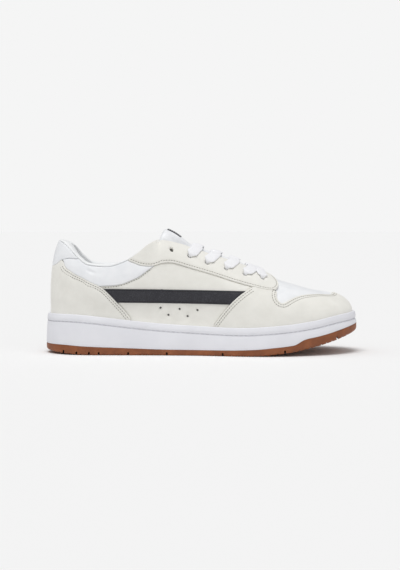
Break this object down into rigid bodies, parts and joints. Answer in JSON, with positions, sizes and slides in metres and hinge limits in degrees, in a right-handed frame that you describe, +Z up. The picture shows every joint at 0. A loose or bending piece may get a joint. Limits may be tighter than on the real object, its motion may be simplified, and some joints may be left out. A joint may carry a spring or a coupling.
{
  "type": "skateboarding shoe",
  "caption": "Low right skateboarding shoe: suede overlays on a leather upper, padded collar and tongue, flat laces, stitched cup sole on a gum tread.",
  "frame": {"origin": "on the floor, under the middle of the shoe's overall length", "axes": "+X to the toe, +Y to the medial (inner) side, +Z up"},
  "size_m": [0.3, 0.1032, 0.1174],
  "materials": {
    "outsole": "matt gum rubber",
    "midsole": "satin white rubber",
    "insole": "woven top cloth",
    "upper": "smooth white leather",
    "heel_tab": "smooth white leather",
    "heel_counter": "cream suede",
    "eyestay": "cream suede",
    "toe_overlay": "cream suede",
    "quarter_lateral": "cream suede",
    "quarter_medial": "cream suede",
    "collar_panel_lateral": "smooth white leather",
    "collar_panel_medial": "smooth white leather",
    "side_band_lateral": "smooth black leather",
    "side_band_medial": "smooth black leather",
    "collar": "padded lining cloth",
    "tongue": "padded white leather",
    "lace_bar": "flat woven lace",
    "lace_cross_1": "flat woven lace",
    "lace_cross_2": "flat woven lace",
    "lace_cross_3": "flat woven lace",
    "lace_cross_4": "flat woven lace"
  },
  "bodies": {
    "root": {"outsole": "outsole", "midsole": "midsole", "insole": "insole", "upper": "upper", "heel_tab": "heel_tab", "heel_counter": "heel_counter", "eyestay": "eyestay", "toe_overlay": "toe_overlay", "quarter_lateral": "quarter_lateral", "quarter_medial": "quarter_medial", "collar_panel_lateral": "collar_panel_lateral", "collar_panel_medial": "collar_panel_medial", "side_band_lateral": "side_band_lateral", "side_band_medial": "side_band_medial", "collar": "collar", "tongue": "tongue", "lace_bar": "lace_bar", "lace_cross_1": "lace_cross_1", "lace_cross_2": "lace_cross_2", "lace_cross_3": "lace_cross_3", "lace_cross_4": "lace_cross_4"}
  },
  "joints": []
}
